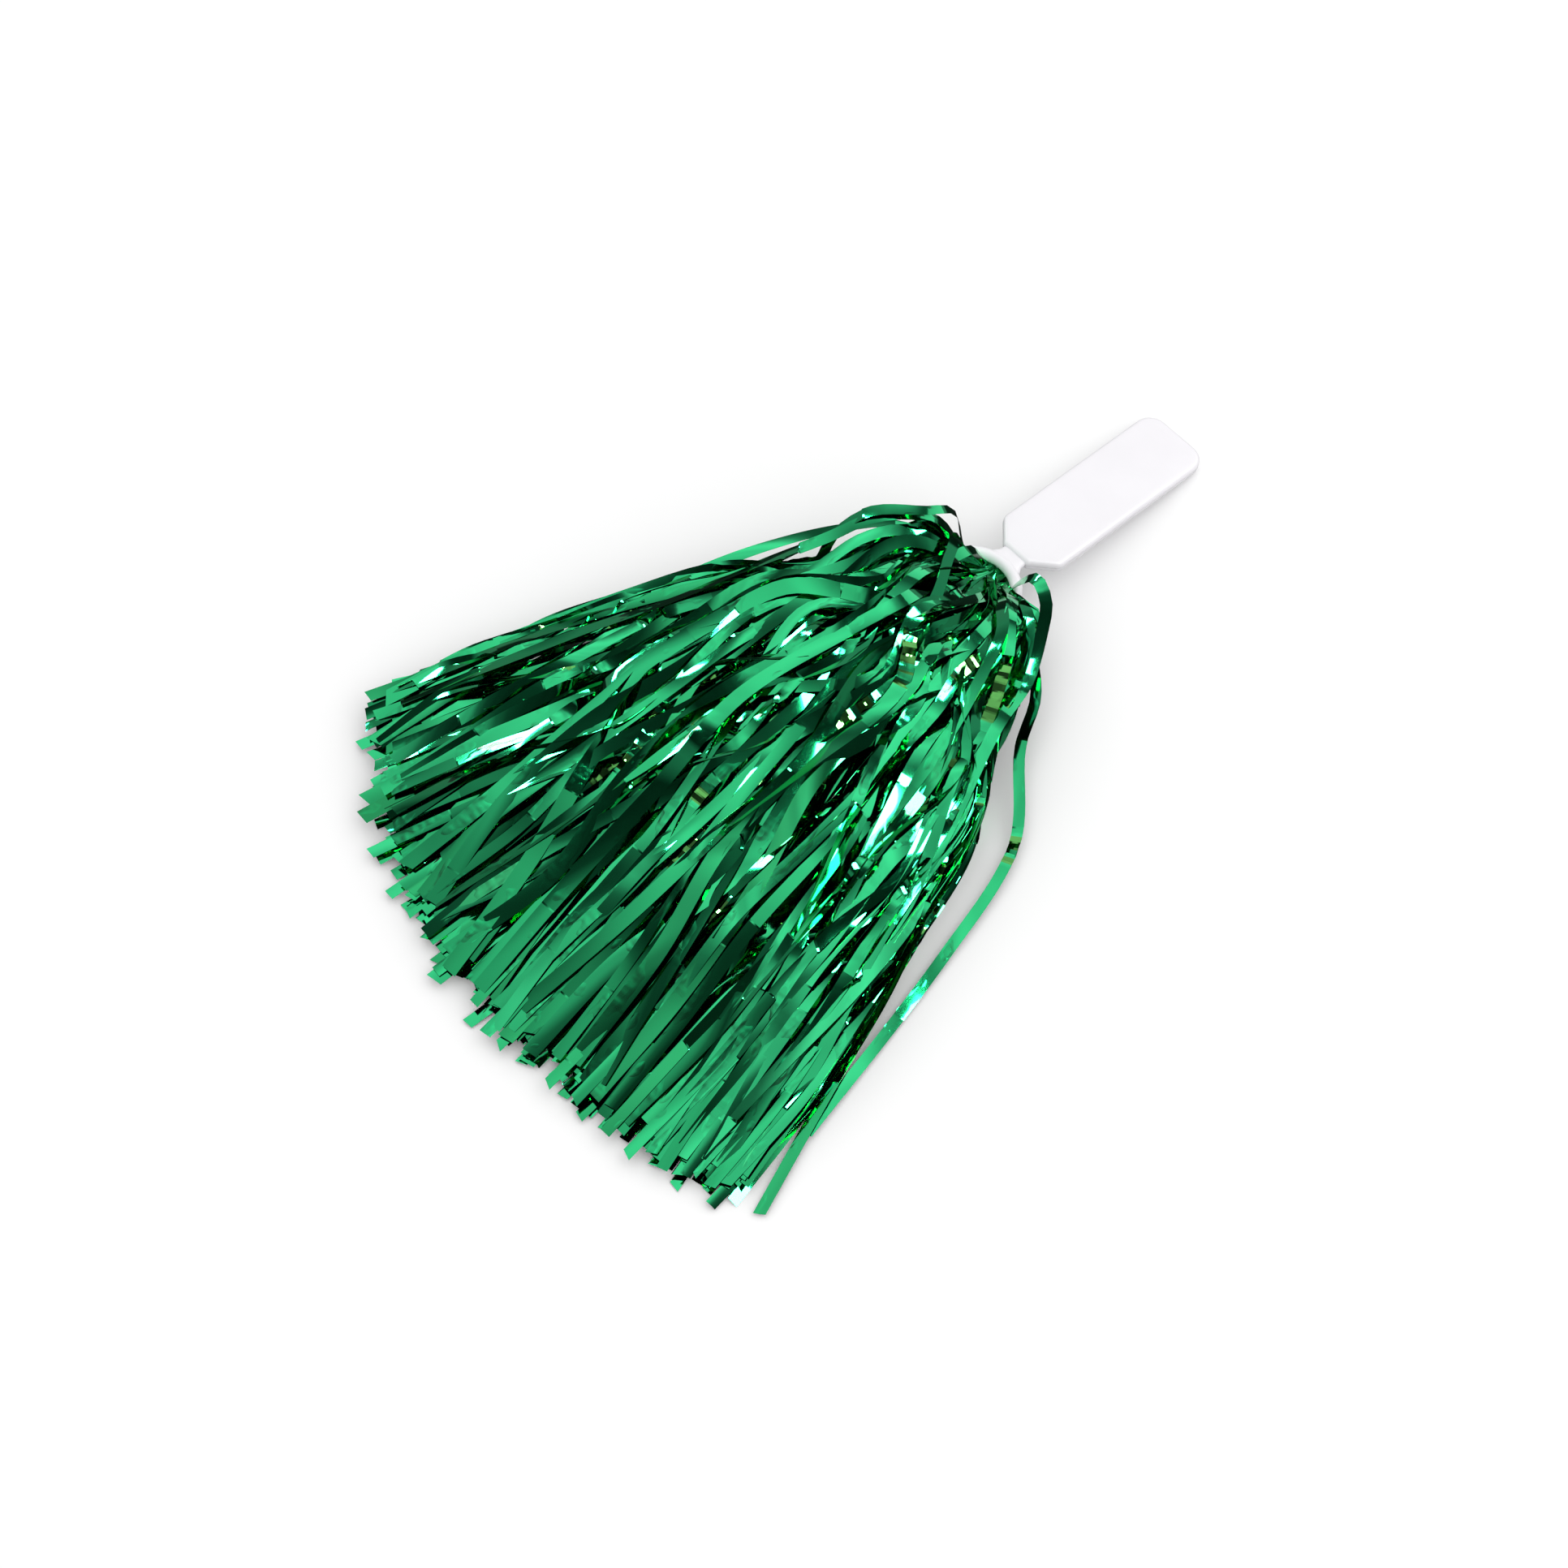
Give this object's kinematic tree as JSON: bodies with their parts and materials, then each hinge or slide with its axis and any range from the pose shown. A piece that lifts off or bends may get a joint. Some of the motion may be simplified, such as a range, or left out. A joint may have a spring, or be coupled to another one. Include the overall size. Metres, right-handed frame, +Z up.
{
  "type": "cheer pom pom",
  "caption": "Hand-held pom pom: flat moulded handle with a ring, and a tied bundle of metallic foil streamers fanned out on a table.",
  "frame": {"origin": "under the middle of the whole object's bounding box, on the surface that it lies on", "axes": "+X from the streamers towards the handle's free end, +Y to the left as seen along +X, +Z up from the surface"},
  "size_m": [0.4193, 0.2838, 0.054],
  "materials": {
    "white_plastic": "satin",
    "tie_plastic": "satin",
    "green_foil": "gloss"
  },
  "bodies": {
    "handle": {"handle_front_shell": "white_plastic", "handle_rear_shell": "white_plastic", "ring_and_stem": "white_plastic"},
    "bundle": {"tied_fold": "green_foil", "cable_tie": "tie_plastic", "top_bend_1": "green_foil", "top_bend_2": "green_foil", "top_bend_3": "green_foil", "top_bend_4": "green_foil", "top_bend_5": "green_foil", "top_bend_6": "green_foil", "top_bend_7": "green_foil", "top_bend_8": "green_foil", "bottom_bend_1": "green_foil", "bottom_bend_2": "green_foil", "bottom_bend_3": "green_foil", "bottom_bend_4": "green_foil", "bottom_bend_5": "green_foil", "bottom_bend_6": "green_foil", "bottom_bend_7": "green_foil", "bottom_bend_8": "green_foil"},
    "tassel": {"top_streamers_1": "green_foil", "top_streamers_2": "green_foil", "top_streamers_3": "green_foil", "top_streamers_4": "green_foil", "top_streamers_5": "green_foil", "top_streamers_6": "green_foil", "top_streamers_7": "green_foil", "top_streamers_8": "green_foil", "bottom_streamers_1": "green_foil", "bottom_streamers_2": "green_foil", "bottom_streamers_3": "green_foil", "bottom_streamers_4": "green_foil", "bottom_streamers_5": "green_foil", "bottom_streamers_6": "green_foil", "bottom_streamers_7": "green_foil", "bottom_streamers_8": "green_foil"},
    "tassel_tips": {"top_tips_2": "green_foil", "top_tips_3": "green_foil", "top_tips_4": "green_foil", "top_tips_5": "green_foil", "top_tips_6": "green_foil", "top_tips_7": "green_foil", "bottom_tips_2": "green_foil", "bottom_tips_3": "green_foil", "bottom_tips_4": "green_foil", "bottom_tips_5": "green_foil", "bottom_tips_6": "green_foil", "bottom_tips_7": "green_foil"},
    "left_tips": {"top_tips_8": "green_foil", "bottom_tips_8": "green_foil"},
    "right_tips": {"top_tips_1": "green_foil", "bottom_tips_1": "green_foil"}
  },
  "joints": [
    {"name": "bundle_turn", "type": "hinge", "parent": "handle", "child": "bundle", "pos_m": [0.08049, 0, 0.02553], "axis": [0.1736, 0, 0.9848], "range_deg": [-30, 30]},
    {"name": "tassel_flop", "type": "hinge", "parent": "bundle", "child": "tassel", "pos_m": [0.04258, 0, 0.03221], "axis": [0, 1, 0], "range_deg": [-50, 50]},
    {"name": "tassel_bend", "type": "hinge", "parent": "tassel", "child": "tassel_tips", "pos_m": [-0.0695, 0, 0.018], "axis": [0, 1, 0], "range_deg": [-45, 45]},
    {"name": "left_flare", "type": "hinge", "parent": "tassel_tips", "child": "left_tips", "pos_m": [-0.07551, 0.10067, 0.018], "axis": [0, 0, -1], "range_deg": [0, 15]},
    {"name": "right_flare", "type": "hinge", "parent": "tassel_tips", "child": "right_tips", "pos_m": [-0.07551, -0.10067, 0.018], "axis": [0, 0, 1], "range_deg": [0, 15]}
  ]
}
